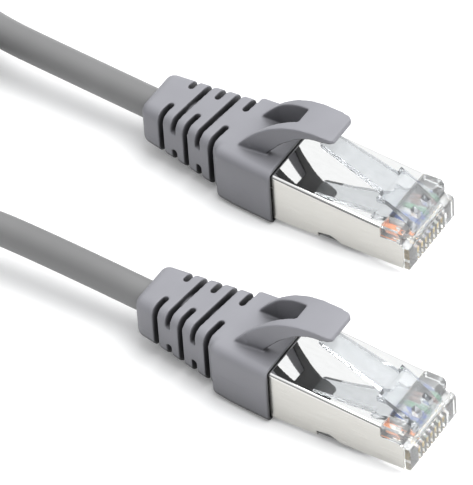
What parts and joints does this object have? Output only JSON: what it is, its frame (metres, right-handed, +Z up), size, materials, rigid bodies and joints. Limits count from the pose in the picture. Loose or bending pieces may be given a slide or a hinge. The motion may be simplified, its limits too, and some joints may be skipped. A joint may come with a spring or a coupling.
{
  "type": "ethernet patch cable",
  "caption": "Shielded patch cable with a modular plug and a snagless strain-relief boot at each end, its spare length coiled and tied.",
  "frame": {"origin": "bottom centre of the box round the two plug ends, on the surface they lie on; the free cable and its coil are left out of that box", "axes": "+X points the way the plugs are pushed into a jack, +Y from end b to end a, +Z up, with the latches on top"},
  "size_m": [0.1532, 0.0668, 0.0158],
  "materials": {
    "boot_grey": "soft moulded grey plastic with a fine grain",
    "shield_metal": "bright nickel-plated sheet, mirror top and satin sides",
    "clear_plastic": "clear polycarbonate, polished",
    "natural_plastic": "translucent natural plastic",
    "gold_contacts": "gold-plated phosphor bronze",
    "copper_cores": "bare copper",
    "cable_jacket": "grey cable sheath, slight sheen",
    "tinned_braid": "tinned copper braid",
    "tie_strap": "woven hook-and-loop strap",
    "white_orange": "white insulation with an orange stripe",
    "orange": "glossy insulation",
    "white_green": "white insulation with a green stripe",
    "blue": "glossy insulation",
    "white_blue": "white insulation with a blue stripe",
    "green": "glossy insulation",
    "white_brown": "white insulation with a brown stripe",
    "brown": "glossy insulation"
  },
  "bodies": {
    "patch_cable": {"boot_a": "boot_grey", "shield_a": "shield_metal", "housing_a": "clear_plastic", "load_bar_a": "natural_plastic", "contacts_a": "gold_contacts", "cores_a": "copper_cores", "jacket_end_a": "cable_jacket", "braid_a": "tinned_braid", "wire_white_orange_a": "white_orange", "wire_orange_a": "orange", "wire_white_green_a": "white_green", "wire_blue_a": "blue", "wire_white_blue_a": "white_blue", "wire_green_a": "green", "wire_white_brown_a": "white_brown", "wire_brown_a": "brown", "boot_b": "boot_grey", "shield_b": "shield_metal", "housing_b": "clear_plastic", "load_bar_b": "natural_plastic", "contacts_b": "gold_contacts", "cores_b": "copper_cores", "jacket_end_b": "cable_jacket", "braid_b": "tinned_braid", "wire_white_orange_b": "white_orange", "wire_orange_b": "orange", "wire_white_green_b": "white_green", "wire_blue_b": "blue", "wire_white_blue_b": "white_blue", "wire_green_b": "green", "wire_white_brown_b": "white_brown", "wire_brown_b": "brown", "cable_lead_a": "cable_jacket", "cable_lead_b": "cable_jacket", "cable_coil": "cable_jacket", "coil_tie": "tie_strap"},
    "hood_a": {"hood_a": "boot_grey"},
    "latch_a": {"latch_a": "clear_plastic"},
    "hood_b": {"hood_b": "boot_grey"},
    "latch_b": {"latch_b": "clear_plastic"}
  },
  "joints": [
    {"name": "hood_press_a", "type": "hinge", "parent": "patch_cable", "child": "hood_a", "pos_m": [-0.01208, 0.0158, 0.01075], "axis": [0, 1, 0], "range_deg": [0, 24], "stiffness_Nm_per_rad": 0.03},
    {"name": "latch_press_a", "type": "hinge", "parent": "patch_cable", "child": "latch_a", "pos_m": [0.01153, 0.0158, 0.00535], "axis": [0, -1, 0], "range_deg": [0, 10], "stiffness_Nm_per_rad": 0.03},
    {"name": "hood_press_b", "type": "hinge", "parent": "patch_cable", "child": "hood_b", "pos_m": [0.00662, -0.0158, 0.01075], "axis": [0, 1, 0], "range_deg": [0, 24], "stiffness_Nm_per_rad": 0.03},
    {"name": "latch_press_b", "type": "hinge", "parent": "patch_cable", "child": "latch_b", "pos_m": [0.03022, -0.0158, 0.00535], "axis": [0, -1, 0], "range_deg": [0, 10], "stiffness_Nm_per_rad": 0.03}
  ],
  "couplings": [
    {"joint": "latch_press_a", "follows": "hood_press_a", "ratio": 0.41},
    {"joint": "latch_press_b", "follows": "hood_press_b", "ratio": 0.41}
  ]
}
